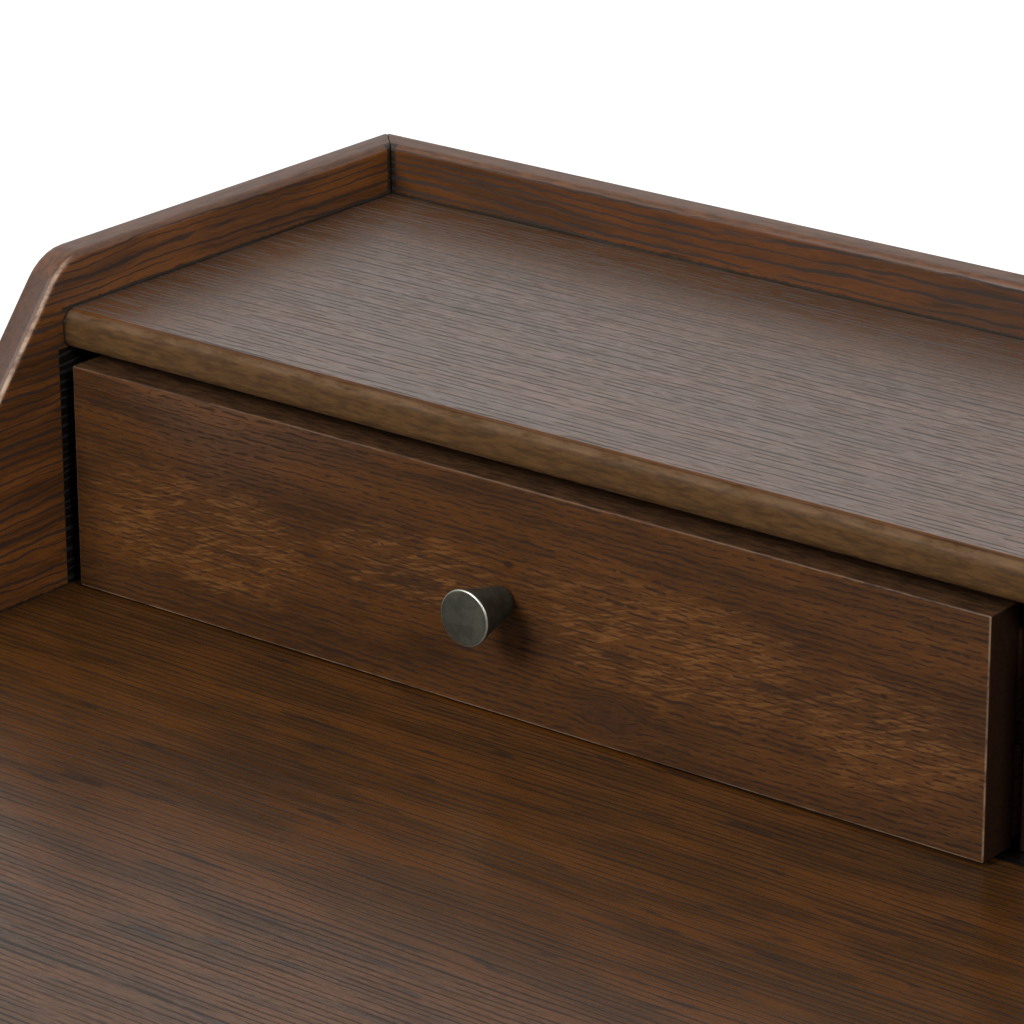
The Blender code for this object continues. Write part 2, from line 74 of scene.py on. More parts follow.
# The studio: a floor that glows a little, a sky that is dim before the desk, and two soft boxes.
FLOOR_HALF_SIZE = 30.0
FLOOR_SCUFF = 260.0  # millimetres
FLOOR_COLOURS = ((0.89, 0.89, 0.89), (0.93, 0.93, 0.93))
FLOOR_GLOW = 0.3
SKY_COLOUR = (1.0, 1.0, 1.0)
OVERHEAD_COLOUR = (0.85, 0.85, 0.85)
SKY_BEFORE_DESK = (0.12, 0.12, 0.12)
SOFT_BOXES = (
    {
        "name": "key",
        "place": (-1.05, -2.9, 2.7),
        "target": (-0.25, 0.0, 0.8),
        "width": 1.5,
        "height": 1.5,
        "power": 202.0,
    },
    {
        "name": "side_light",
        "place": (2.2, -1.1, 2.6),
        "target": (-0.5, 0.1, 0.8),
        "width": 0.7,
        "height": 1.1,
        "power": 60.0,
    },
)

# How the CAD shapes are finished.
WELD = 0.00001
FLAT_ANGLE = math.radians(0.5)  # edges between faces flatter than this are dissolved
EASE_ANGLE = math.radians(35)  # edges sharper than this are eased
BOARD_EASE = 0.0005
DRAWER_FRONT_EASE = 0.0003
LEVEL_FACE = 0.985  # least |z| of a normal on a board's level face

# Where the painted shade goes: along the seams and inside the case.
INNER_SKIN = 0.003  # depth of a panel's inner face that takes the painted shade of its seams and of the case's inside
FRONT_SETBACK = 0.012  # how far behind the drawer fronts' plane the painted shade on the desktop starts
CASE_SHADE_COLOUR = (0.0045, 0.0035, 0.0028)
# Half widths of the painted seam shade on each board, in millimetres.
DESKTOP_END_SEAM = 0.8
SHELF_END_SEAM, SHELF_BACK_SEAM = 1.2, 1.0
BACK_SHELF_SEAM, BACK_CORNER_SEAM = 1.2, 3.0
SIDE_SHELF_SEAM, SIDE_DESKTOP_SEAM, SIDE_CORNER_SEAM = 1.0, 0.6, 2.4
# Painted shade in the seams and inside corners between boards.
SEAM_SHADE_COLOUR = (0.010, 0.0085, 0.0060)
DUST_COLOUR = (0.150, 0.140, 0.115)

# Marks that every kind of oak board shares.
RING_LEAN = 0.35  # how far the rings lean into the board
PATCHINESS = 0.05  # of the roughness
SEED_SHIFT = 37.7  # from one board's noise to the next one's, in cells of the noise
END_GRAIN_COLOUR = (0.0120, 0.0050, 0.0026)
# Light arris lines and rubbed borders: wear, and on the side panels' forward-facing arrises a painted
# highlight.
WEAR_AND_HIGHLIGHT_COLOUR = (0.300, 0.200, 0.130)
SMUDGE_COLOUR = (0.011, 0.0065, 0.0045)
KNOT_COLOUR = (0.024, 0.011, 0.006)
CREST_COLOUR = (0.130, 0.056, 0.016)  # crests of the ripple figure
RAY_TILT = math.radians(13.0)  # between the ripple figure's dashes and the grain
FIGURE_GLOW = 1.55  # brightness of the figure's ground over the light wood's

# One knot on a drawer front: share of its width and height, and its size.
KNOT_SHARES = (0.62, 0.13)
KNOT_SIZE = 0.007
KNOT_SQUEEZE = 0.6  # its height, as a share of its length along the grain

# Patches of ripple figure on a drawer front: shares of its width and height, half sizes in millimetres.
FIGURES = (
    (0.15, 0.42, 80.0, 36.0),
    (0.40, 0.52, 60.0, 22.0),
    (0.68, 0.50, 95.0, 34.0),
    (0.90, 0.38, 60.0, 30.0),
)

# Pin knots on a drawer front: shares of its width and height, radius in millimetres.
PIN_KNOTS = ((0.51, 0.66, 2.2), (0.90, 0.56, 1.7))
PIN_SQUEEZE = 0.7  # their height, as a share of their length along the grain

# How far each border of a drawer front is rubbed.
RUBBED_LOWER, RUBBED_UPPER, RUBBED_LEFT, RUBBED_RIGHT = 0.42, 0.04, 0.12, 0.26

# The metals and the glides' plastic.
GUNMETAL_COLOURS = ((0.060, 0.060, 0.046), (0.088, 0.088, 0.067))
GUNMETAL_PITS = (0.030, 0.028, 0.022)
GUNMETAL_RIM_WEAR_AND_HIGHLIGHT = (0.36, 0.345, 0.30)
STEEL_COLOURS = ((0.36, 0.35, 0.33), (0.52, 0.51, 0.49))
PLASTIC_COLOURS = ((0.030, 0.026, 0.023), (0.055, 0.049, 0.043))

# The knobs. Their overall sizes come from the frame.
KNOB_BASE_RADIUS = 0.0078
KNOB_BASE_CHAMFER = 0.0005
KNOB_BASE_SHARE = 0.985  # of the knob's length, where the chamfer starts
KNOB_RIM = 0.0011
KNOB_RIM_STEPS = 6
KNOB_FLARE_SHARES = (0.25, 0.5, 0.75, 0.93)
KNOB_HOLLOW = 0.0003  # depth of the flare's curve
KNOB_STEPS = 96
KNOB_BORE_RADIUS = 0.0024
KNOB_BORE_DEPTH = 0.015
KNOB_CREASE = math.radians(40)


class Tree:
    """A node tree. Each method adds nodes and gives back the socket that holds the result."""

    def __init__(self, owner):
        owner.use_nodes = True
        self.nodes = owner.node_tree.nodes
        self.links = owner.node_tree.links

    def add(self, kind, inputs, **settings):
        node = self.nodes.new(kind)
        for name, value in settings.items():
            setattr(node, name, value)
        for key, value in inputs.items():
            self.feed(node.inputs[key], value)
        return node

    def feed(self, socket, value):
        if isinstance(value, bpy.types.NodeSocket):
            self.links.new(value, socket)
        else:
            socket.default_value = value

    def math(self, operation, *values):
        inputs = dict(enumerate(values))
        return self.add("ShaderNodeMath", inputs, operation=operation).outputs[0]

    def chain(self, operation, values):
        result = values[0]
        for value in values[1:]:
            result = self.math(operation, result, value)
        return result

    def total(self, *values):
        return self.chain("ADD", values)

    def product(self, *values):
        return self.chain("MULTIPLY", values)

    def least(self, *values):
        return self.chain("MINIMUM", values)

    def squares(self, first, second):
        """The sum of two values' squares."""
        return self.total(self.product(first, first), self.product(second, second))

    def offset(self, value, middle, unit):
        """How far a value is from its middle, in units of this size."""
        return self.math("MULTIPLY_ADD", value, 1.0 / unit, -middle / unit)

    def centred(self, value, reach):
        """A value between 0 and 1, moved to run from -reach to reach."""
        return self.math("MULTIPLY_ADD", value, 2.0 * reach, -reach)

    def ramp(self, value, low, high):
        """0 at low and 1 at high, smooth between. low may be the larger."""
        inputs = {"Value": value, "From Min": low, "From Max": high}
        return self.add("ShaderNodeMapRange", inputs, interpolation_type="SMOOTHSTEP").outputs[0]

    def between(self, value, low, high):
        """Maps 0 to 1 onto low to high."""
        inputs = {"Value": value, "To Min": low, "To Max": high}
        return self.add("ShaderNodeMapRange", inputs, clamp=True).outputs[0]

    def vector(self, x, y, z):
        return self.add("ShaderNodeCombineXYZ", {"X": x, "Y": y, "Z": z}).outputs[0]

    def parts(self, vector):
        return self.add("ShaderNodeSeparateXYZ", {"Vector": vector}).outputs

    def noise(self, vector, detail=2.0, roughness=0.5):
        inputs = {"Vector": vector, "Scale": 1.0, "Detail": detail, "Roughness": roughness}
        return self.add("ShaderNodeTexNoise", inputs).outputs["Fac"]

    def blend(self, factor, first, second):
        """Colour first where factor is 0, second where it is 1."""
        inputs = {0: factor, 6: rgba(first), 7: rgba(second)}
        return self.add("ShaderNodeMix", inputs, data_type="RGBA").outputs[2]


class Surface(Tree):
    """A material's tree, around its Principled shader."""

    def __init__(self, name):
        self.material = bpy.data.materials.new(name)
        super().__init__(self.material)
        self.shader = self.nodes["Principled BSDF"]
        place = self.add("ShaderNodeTexCoord", {}).outputs["Object"]
        self.place = [self.product(part, MM) for part in self.parts(place)]

    def normal(self):
        return self.parts(self.add("ShaderNodeNewGeometry", {}).outputs["Normal"])

    def speckle(self, size, detail=3.0):
        """Noise in even cells of this size in millimetres."""
        scaled_place = self.vector(*(self.product(part, 1.0 / size) for part in self.place))
        return self.noise(scaled_place, detail, 0.6)

    def set(self, colour, roughness):
        self.feed(self.shader.inputs["Base Color"], colour)
        self.feed(self.shader.inputs["Roughness"], roughness)

    def bump(self, height, depth_mm, strength):
        inputs = {"Height": height, "Distance": depth_mm / MM, "Strength": strength}
        self.feed(self.shader.inputs["Normal"], self.add("ShaderNodeBump", inputs).outputs[0])


def rgba(colour):
    return colour if isinstance(colour, bpy.types.NodeSocket) else (*colour, 1.0)


def scaled(colour, factor):
    return tuple(factor * part for part in colour)


class Look:
    """How one kind of oak board looks. Lengths are in millimetres."""

    def __init__(self, **changes):
        self.dark = (0.0240, 0.0095, 0.0030)
        self.light = (0.066, 0.0250, 0.0058)
        self.warm = (0.088, 0.0290, 0.0052)
        self.pore = (0.0120, 0.0050, 0.0022)
        self.edge_dark = (0.022, 0.011, 0.005)
        self.edge_light = (0.062, 0.027, 0.010)
        self.ring = 4.8  # spacing of the growth rings
        self.wave = 4.0  # sideways wander of the grain
        self.wave_length = 260.0
        self.spread = 1.1  # unevenness of the rings' spacing
        self.row_width = (0.02, 0.13)  # least and most share of a ring's spacing that its pores fill
        self.tremble = 0.8  # short sideways wander of the grain
        self.dash_length = 15.0  # length of the dark pore dashes
        self.dash_level = 0.47  # noise above this makes a dash in a ring
        self.dash_depth = 0.75  # darkness of the dashes
        self.loose = 0.45  # share of the pore dashes outside the rings
        self.warmth = 0.5  # share of warm patches
        self.fleck = 0.0  # ripple figure
        self.smudge = 0.0  # dark patches along the grain
        self.roughness = 0.30
        self.edge_roughness = 0.46
        self.relief = 0.06  # depth of the open pores
        self.gloss = 0.5  # specular level
        self.dullness = 0.45  # roughness that the pores add
        self.wear_and_highlight = 0.0  # light lines on the arrises: wear, and a painted highlight where they are kept to forward-facing arrises
        self.forward_highlight = False  # keeps the light lines to the arrises that face forwards, as a painted highlight
        self.specks = 0.0  # pale dust in the seams
        self.__dict__.update(changes)

    def varied(self, **changes):
        """A copy with some values changed."""
        return Look(**{**self.__dict__, **changes})


DESKTOP_LOOK = Look(
    dark=(0.0130, 0.0055, 0.0018),
    light=(0.0520, 0.0195, 0.0040),
    warm=(0.066, 0.0220, 0.0038),
    pore=(0.0070, 0.0032, 0.0014),
    ring=4.4,
    wave=3.0,
    spread=1.0,
    row_width=(0.03, 0.19),
    tremble=0.6,
    dash_length=46.0,
    dash_level=0.38,
    warmth=0.6,
    smudge=0.75,
    roughness=0.26,
    relief=0.10,
    gloss=0.33,
    dullness=0.2,
)
SHELF_LOOK = Look(
    edge_dark=(0.029, 0.0144, 0.0055),
    edge_light=(0.051, 0.0248, 0.0079),
    ring=4.3,
    wave=1.2,
    spread=0.7,
    row_width=(0.05, 0.22),
    tremble=0.5,
    dash_length=30.0,
    dash_level=0.43,
    dash_depth=0.9,
    warmth=0.25,
    edge_roughness=0.55,
    relief=0.30,
    gloss=0.90,
    wear_and_highlight=0.09,
    specks=0.5,
)
SHELF_EDGE_LOOK = SHELF_LOOK.varied(gloss=0.06, relief=0.1)
SIDE_LOOK = Look(
    light=(0.104, 0.037, 0.0108),
    warm=(0.134, 0.045, 0.0100),
    edge_dark=(0.040, 0.017, 0.008),
    edge_light=(0.075, 0.030, 0.013),
    ring=5.0,
    wave=7.0,
    wave_length=150.0,
    row_width=(0.06, 0.20),
    tremble=1.7,
    dash_length=80.0,
    dash_level=0.33,
    dash_depth=0.82,
    warmth=0.8,
    gloss=0.35,
    # On the side panels the light arris lines are a painted highlight along the slope's forward-facing
    # arrises.
    wear_and_highlight=0.8,
    forward_highlight=True,
)
BACK_LOOK = Look(
    light=(0.054, 0.0195, 0.0056),
    warm=(0.072, 0.0225, 0.0050),
    edge_dark=(0.040, 0.017, 0.008),
    edge_light=(0.080, 0.032, 0.013),
    ring=5.6,
    wave=7.0,
    spread=1.6,
    row_width=(0.06, 0.22),
    tremble=1.5,
    dash_length=60.0,
    dash_level=0.34,
    dash_depth=0.9,
    warmth=0.7,
    smudge=0.6,
    gloss=0.3,
)
FRAME_LOOK = Look(ring=3.8, wave=2.0, dash_depth=0.85, roughness=0.38, gloss=0.3)
DRAWER_FRONT_LOOK = Look(
    dark=(0.0150, 0.0062, 0.0025),
    light=(0.047, 0.0180, 0.0052),
    warm=(0.064, 0.0225, 0.0050),
    pore=(0.0110, 0.0050, 0.0026),
    edge_dark=(0.016, 0.0080, 0.0042),
    edge_light=(0.040, 0.0185, 0.0080),
    ring=2.7,
    wave=5.0,
    spread=1.6,
    row_width=(0.08, 0.26),
    tremble=1.5,
    dash_length=8.5,
    dash_level=0.45,
    dash_depth=0.76,
    loose=0.6,
    fleck=0.9,
    smudge=0.45,
    relief=0.08,
    gloss=0.10,
    wear_and_highlight=0.08,
)
DRAWER_BOX_LOOK = Look(
    dark=(0.040, 0.018, 0.008),
    light=(0.085, 0.040, 0.018),
    dash_depth=0.6,
    warmth=0.2,
    roughness=0.5,
    gloss=0.2,
)
# The runners are coloured near black as painted shade, so they sink into the shade of the slit beside the
# drawer fronts.
SHADED_RUNNER_LOOK = Look(dark=(0.012, 0.006, 0.003), light=(0.024, 0.012, 0.006), warmth=0.0, gloss=0.1)


class Oak(Surface):
    """Dark stained open-pored oak. Each method lays one kind of mark over the colour so far.

    order gives the axes along the grain, across the face and into it. Places on the board are in metres.
    """

    def __init__(self, name, order, look, seed):
        super().__init__(name)
        self.look = look
        self.along, self.across, self.into = (self.place[axis] for axis in order)
        self.shift = SEED_SHIFT * seed
        normal = self.normal()
        self.normal_y = normal[Y]
        self.facing = self.math("ABSOLUTE", normal[order[2]])
        self.endways = self.math("ABSOLUTE", normal[order[0]])
        self.mottle = self.cells(length=14.0, width=2.4, salt=57.0, detail=4.0, roughness=0.7)
        ragged = self.total(self.facing, self.centred(self.mottle, 0.05))
        self.edge = self.ramp(ragged, 0.945, 0.78)
        self.clear_of_edge = self.between(self.edge, 1.0, 0.12)

    def cells(self, length, width, salt, sideways=None, lengthways=None, detail=2.0, roughness=0.5):
        """Noise in cells of this length along the grain and this width across it. The salt tells one
        use from another."""
        sideways = sideways or self.across
        lengthways = lengthways or self.along
        place = self.vector(
            self.math("MULTIPLY_ADD", lengthways, 1.0 / length, self.shift + salt),
            self.product(sideways, 1.0 / width),
            self.product(self.into, 1.0 / width),
        )
        return self.noise(place, detail, roughness)

    def cover(self, amount, colour):
        """Lays a colour over the wood, as thickly as amount says."""
        self.colour = self.blend(amount, self.colour, colour)

    def past(self, bound):
        """Millimetres past a bound (axis, metres, sign): sign is 1 where past means a greater value."""
        axis, start, sign = bound
        return self.math("MULTIPLY_ADD", self.place[axis], sign, -sign * start * MM)

    def bend_grain(self, knot):
        """Lets the grain wander, and swirl round the knot (metres along and across, size in metres)."""
        look = self.look
        wander = self.cells(length=look.wave_length, width=60.0, salt=1.0, detail=1.0)
        tremble = self.cells(length=17.0, width=9.0, salt=5.0)
        self.tremble = self.centred(tremble, look.tremble)
        self.bent = self.total(self.across, self.centred(wander, look.wave), self.tremble)
        self.near_knot = None
        if knot:
            knot_along, knot_across, knot_size = (MM * value for value in knot)
            off_along = self.offset(self.along, knot_along, 1.0 / KNOT_SQUEEZE)
            off_across = self.math("SUBTRACT", self.across, knot_across)
            reach = self.math("SQRT", self.squares(off_along, off_across))
            self.near_knot = self.ramp(reach, 2.4 * knot_size, 0.2 * knot_size)
            swirl = self.product(self.near_knot, off_across, -0.75)
            self.bent = self.total(self.bent, swirl, self.product(self.near_knot, self.tremble, 3.0))

    def grow_rings(self):
        """Dark pore dashes in rows along the growth rings, and some between them."""
        look = self.look
        spread = self.cells(length=330.0, width=15.0, salt=9.0, sideways=self.bent)
        phase = self.total(
            self.product(self.bent, 1.0 / look.ring),
            self.product(self.into, RING_LEAN / look.ring),
            self.centred(spread, look.spread),
        )
        cycle = self.math("FRACT", phase)
        self.off_row = self.math("ABSOLUTE", self.math("SUBTRACT", cycle, 0.5))
        uneven = self.cells(length=60.0, width=12.0, salt=10.0, sideways=self.bent)
        row_width = self.between(uneven, *look.row_width)
        row = self.ramp(self.math("SUBTRACT", self.off_row, row_width), 0.05, -0.04)
        broken_along = self.math("MULTIPLY_ADD", self.along, 1.0 / look.dash_length, self.shift + 11.0)
        broken = self.noise(self.vector(broken_along, phase, 0.0), 2.0, 0.6)
        row_dash = self.product(row, self.ramp(broken, look.dash_level, look.dash_level + 0.10))
        loose_length = 0.8 * look.dash_length
        loose = self.cells(length=loose_length, width=0.60, salt=13.0, sideways=self.bent, detail=1.0)
        loose_dash = self.product(self.ramp(loose, 0.58, 0.72), look.loose)
        self.dash = self.product(self.math("MAXIMUM", row_dash, loose_dash), self.clear_of_edge)
        short = self.cells(length=7.0, width=0.40, salt=17.0, sideways=self.bent, detail=1.0)
        self.short_pore = self.product(self.ramp(short, 0.54, 0.68), self.clear_of_edge)

    def stain(self):
        """The wood's own colour: fibres, bands, clouds and warm patches."""
        look = self.look
        fibre = self.cells(length=48.0, width=0.6, salt=23.0, sideways=self.bent)
        band = self.cells(length=160.0, width=2.0, salt=27.0, sideways=self.bent)
        cloud = self.cells(length=150.0, width=38.0, salt=29.0, detail=3.0)
        tone = self.total(
            self.product(self.ramp(cloud, 0.34, 0.66), 0.22),
            self.product(self.ramp(band, 0.36, 0.64), 0.32),
            self.product(self.ramp(fibre, 0.34, 0.66), 0.30),
            self.product(self.ramp(self.off_row, 0.0, 0.4), 0.18),
        )
        self.colour = self.blend(tone, look.dark, look.light)
        warm_cloud = self.cells(length=85.0, width=17.0, salt=31.0, sideways=self.bent)
        self.cover(self.product(self.ramp(warm_cloud, 0.42, 0.66), look.warmth), look.warm)
        self.relief = self.total(
            self.product(self.dash, -1.0), self.product(self.short_pore, -0.4), self.product(fibre, 0.2)
        )

    def ripple(self, figures):
        """Ripple figure: a gold ground with lighter crests that run nearly along the grain, in patches
        (metres along and across the grain, half length and half height in millimetres)."""
        ray = self.total(
            self.product(self.along, math.cos(RAY_TILT)), self.product(self.across, math.sin(RAY_TILT))
        )
        off_ray = self.total(
            self.product(self.across, math.cos(RAY_TILT)), self.product(self.along, -math.sin(RAY_TILT))
        )
        sway = self.cells(length=19.0, width=30.0, salt=41.0, sideways=off_ray, lengthways=ray, detail=1.0)
        swayed = self.total(off_ray, self.centred(sway, 2.4))
        dashes = self.cells(length=16.0, width=1.7, salt=43.0, sideways=swayed, lengthways=ray, detail=1.0)
        outline = self.centred(self.cells(length=34.0, width=16.0, salt=47.0), 0.7)
        where = 0.0
        for figure_along, figure_across, half_length, half_height in figures:
            off_middle = self.offset(self.along, MM * figure_along, half_length)
            off_level = self.offset(self.across, MM * figure_across, half_height)
            distance = self.total(self.squares(off_middle, off_level), outline)
            where = self.math("MAXIMUM", where, self.ramp(distance, 1.2, 0.2))
        ground = self.product(where, self.look.fleck)
        self.cover(self.product(ground, 0.38), scaled(self.look.light, FIGURE_GLOW))
        crest = self.product(self.ramp(dashes, 0.50, 0.64), self.between(where, 0.12, 1.0), self.look.fleck)
        self.cover(self.product(crest, 0.42), CREST_COLOUR)
        self.relief = self.total(self.relief, self.product(crest, 0.3))

    def darken(self, pin_knots):
        """Smudges, the knot, pin knots (metres along and across, radius in millimetres) and pores."""
        look = self.look
        if look.smudge:
            smear = self.cells(length=44.0, width=6.0, salt=53.0, sideways=self.bent)
            self.cover(self.product(self.ramp(smear, 0.62, 0.71), look.smudge), SMUDGE_COLOUR)
        if self.near_knot is not None:
            self.cover(self.product(self.near_knot, 0.70), KNOT_COLOUR)
        for pin_along, pin_across, radius in pin_knots:
            off_along = self.offset(self.along, MM * pin_along, radius / PIN_SQUEEZE)
            off_across = self.offset(self.across, MM * pin_across, radius)
            distance = self.total(self.squares(off_along, off_across), self.tremble)
            self.cover(self.product(self.ramp(distance, 1.8, 0.3), 0.8), look.pore)
        self.cover(self.product(self.dash, look.dash_depth), look.pore)
        self.cover(self.product(self.short_pore, 0.42), look.pore)

    def turn_edges(self):
        """The mottled wood of the edges, and darker end grain."""
        look = self.look
        edge_colour = self.blend(self.ramp(self.mottle, 0.36, 0.64), look.edge_dark, look.edge_light)
        edge_colour = self.blend(self.product(self.dash, 0.15), edge_colour, look.pore)
        self.cover(self.edge, edge_colour)
        self.cover(self.product(self.ramp(self.endways, 0.6, 0.9), 0.8), END_GRAIN_COLOUR)

    def mark_wear_and_highlight(self, rubbed):
        """Light lines on the arrises, which are wear, and a painted highlight on looks that keep them to
        forward-facing arrises; and wear along the face's rubbed borders (axis, metres, strength).
        """
        look = self.look
        patchy = self.cells(length=26.0, width=14.0, salt=61.0, detail=4.0, roughness=0.7)
        patchy = self.ramp(patchy, 0.34, 0.60)
        line = self.product(self.ramp(self.facing, 0.42, 0.62), self.ramp(self.facing, 0.97, 0.84))
        # Kept to forward-facing arrises, the light line is a painted highlight.
        if look.forward_highlight:
            line = self.product(line, self.ramp(self.normal_y, -0.12, -0.40))
        self.cover(self.product(line, patchy, look.wear_and_highlight), WEAR_AND_HIGHLIGHT_COLOUR)
        for axis, position, strength in rubbed:
            inside = self.math("ABSOLUTE", self.math("SUBTRACT", self.place[axis], position * MM))
            strip = self.product(self.ramp(inside, 1.5, 0.7), self.ramp(self.facing, 0.5, 0.8))
            strip = self.product(strip, self.between(patchy, 0.25, 1.0))
            self.cover(self.product(strip, strength), WEAR_AND_HIGHLIGHT_COLOUR)

    def seam_distance(self, seams):
        """Millimetres to the nearest seam. A seam is a plane (axis, metres, half width in millimetres),
        which may count only where another axis is past a value (..., gate axis, gate metres)."""
        distances = []
        for axis, position, half_width, *gate in seams:
            off_plane = self.math("SUBTRACT", self.place[axis], position * MM)
            distance = self.math("SUBTRACT", self.math("ABSOLUTE", off_plane), half_width)
            if gate:
                gate_axis, gate_position = gate
                short = self.math("SUBTRACT", gate_position * MM, self.place[gate_axis])
                distance = self.math("MAXIMUM", distance, short)
            distances.append(distance)
        return self.least(*distances)

    def shade_seams(self, seams, inner):
        """Painted shade along the seams, with some pale dust, only past the bound inner where there is one.
        """
        ragged_line = self.total(self.seam_distance(seams), self.centred(self.speckle(3.0), 1.6))
        seam_shade = self.ramp(ragged_line, 0.7, -0.4)
        if inner:
            seam_shade = self.product(seam_shade, self.ramp(self.past(inner), -0.5, 0.5))
        self.cover(self.product(seam_shade, 0.9), SEAM_SHADE_COLOUR)
        if self.look.specks:
            dust = self.product(self.ramp(self.speckle(1.3), 0.62, 0.70), seam_shade, self.look.specks)
            self.cover(dust, DUST_COLOUR)

    def polish(self):
        """Hands the colour, roughness, pore relief and gloss to the shader."""
        look = self.look
        patches = self.cells(length=70.0, width=22.0, salt=67.0, detail=3.0)
        roughness = self.total(
            self.between(patches, look.roughness - PATCHINESS, look.roughness + PATCHINESS),
            self.product(self.dash, look.dullness),
            self.product(self.edge, look.edge_roughness - look.roughness),
        )
        self.set(self.colour, roughness)
        self.bump(self.relief, look.relief, 0.5)
        self.shader.inputs["Specular IOR Level"].default_value = look.gloss


def oak(
    name, order, look, seed, seams=(), inner=None, shade_bounds=(), knot=None, pin_knots=(), rubbed=(), figures=()
):
    """An oak material. Oak's methods say what the marks hold. Past all the given bounds of the case's
    inside, the board is painted near black, as painted shade."""
    wood = Oak(name, order, look, seed)
    wood.bend_grain(knot)
    wood.grow_rings()
    wood.stain()
    if look.fleck:
        wood.ripple(figures)
    wood.darken(pin_knots)
    wood.turn_edges()
    if look.wear_and_highlight:
        wood.mark_wear_and_highlight(rubbed)
    if seams:
        wood.shade_seams(seams, inner)
    if shade_bounds:
        # Painted shade: past all these bounds, inside the case behind the drawer fronts, the board is
        # painted near black.
        in_shade = wood.least(*(wood.past(bound) for bound in shade_bounds))
        wood.cover(wood.ramp(in_shade, -0.3, 0.5), CASE_SHADE_COLOUR)
    wood.polish()
    return wood.material


def gunmetal(name):
    """Dark grey-green cast metal with a thin, worn patina and a lighter rim, rubbed and partly a painted
    highlight.
    """
    surface = Surface(name)
    patina = surface.speckle(6.0, 4.0)
    grit = surface.speckle(0.55)
    colour = surface.blend(surface.ramp(patina, 0.35, 0.65), *GUNMETAL_COLOURS)
    pits = surface.product(surface.ramp(grit, 0.55, 0.75), 0.5)
    colour = surface.blend(pits, colour, GUNMETAL_PITS)
    normal_y = surface.normal()[Y]
    # A lighter rim: worn metal, and partly a painted highlight.
    rim = surface.product(surface.ramp(normal_y, -0.35, -0.60), surface.ramp(normal_y, -0.99, -0.90))
    rubbed = surface.product(rim, surface.between(grit, 0.6, 1.0))
    colour = surface.blend(rubbed, colour, GUNMETAL_RIM_WEAR_AND_HIGHLIGHT)
    surface.set(colour, surface.between(grit, 0.34, 0.50))
    surface.shader.inputs["Metallic"].default_value = 0.9
    surface.bump(grit, 0.04, 0.35)
    return surface.material


def bright_steel(name):
    """Drawn steel with marks along the screw."""
    surface = Surface(name)
    x, y, z = surface.place
    marks = surface.noise(surface.vector(surface.product(x, 2.0), surface.product(y, 0.4), z), 3.0, 0.6)
    surface.set(surface.blend(marks, *STEEL_COLOURS), surface.between(marks, 0.25, 0.42))
    surface.shader.inputs["Metallic"].default_value = 1.0
    surface.bump(marks, 0.02, 0.3)
    return surface.material


def moulded_plastic(name):
    """Dark brown plastic with a fine grain."""
    surface = Surface(name)
    specks = surface.speckle(0.9)
    surface.set(surface.blend(specks, *PLASTIC_COLOURS), surface.between(specks, 0.50, 0.68))
    surface.bump(specks, 0.05, 0.3)
    return surface.material


def stand_for(name, mesh, material):
    """Adds the mesh as the piece that a CAD node is seen as."""
    mesh.shade_smooth()
    mesh.materials.append(material)
    piece = bpy.data.objects.new(name + "_finished", mesh)
    bpy.context.scene.collection.objects.link(piece)
    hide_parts(name)
    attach(piece, body_of_node[name])
    return piece


def finish_node(name, material, ease=BOARD_EASE):
    """A CAD node's shape as one welded surface with its edges eased, in the given material."""
    mesh = bpy.data.meshes.new(name + "_finished")
    form = bmesh.new()
    form.from_mesh(nodes[name].data)
    bmesh.ops.remove_doubles(form, verts=form.verts, dist=WELD)
    bmesh.ops.dissolve_limit(form, angle_limit=FLAT_ANGLE, verts=form.verts, edges=form.edges)
    form.to_mesh(mesh)
    form.free()
    piece = stand_for(name, mesh, material)
    if ease:
        bevel = piece.modifiers.new("ease", "BEVEL")
        bevel.width = ease
        bevel.segments = 2
        bevel.limit_method = "ANGLE"
        bevel.angle_limit = EASE_ANGLE
        bevel.harden_normals = True
    weighted = piece.modifiers.new("normals", "WEIGHTED_NORMAL")
    weighted.keep_sharp = True
    return piece


def add_edge_material(piece, material):
    """Puts a second material on every face that turns away from the board's level faces."""
    piece.data.materials.append(material)
    for face in piece.data.polygons:
        if abs(face.normal.z) < LEVEL_FACE:
            face.material_index = 1


def knob_profile(face_radius, length):
    """(radius, distance behind the face) from the middle of the face to the bottom of the bore."""
    profile = [(0.0, 0.0)]
    for step in range(KNOB_RIM_STEPS + 1):
        angle = math.radians(90.0 * step / KNOB_RIM_STEPS)
        radius = face_radius - KNOB_RIM * (1 - math.sin(angle))
        profile.append((radius, KNOB_RIM * (1 - math.cos(angle))))
    slope = (face_radius - KNOB_BASE_RADIUS) / length
    for share in KNOB_FLARE_SHARES:
        radius = face_radius - slope * share * length - KNOB_HOLLOW * math.sin(math.pi * share)
        profile.append((radius, share * length))
    profile.append((KNOB_BASE_RADIUS, KNOB_BASE_SHARE * length))
    profile.append((KNOB_BASE_RADIUS - KNOB_BASE_CHAMFER, length))
    profile.append((KNOB_BORE_RADIUS, length))
    profile.append((KNOB_BORE_RADIUS, length - KNOB_BORE_DEPTH))
    profile.append((0.0, length - KNOB_BORE_DEPTH))
    return profile


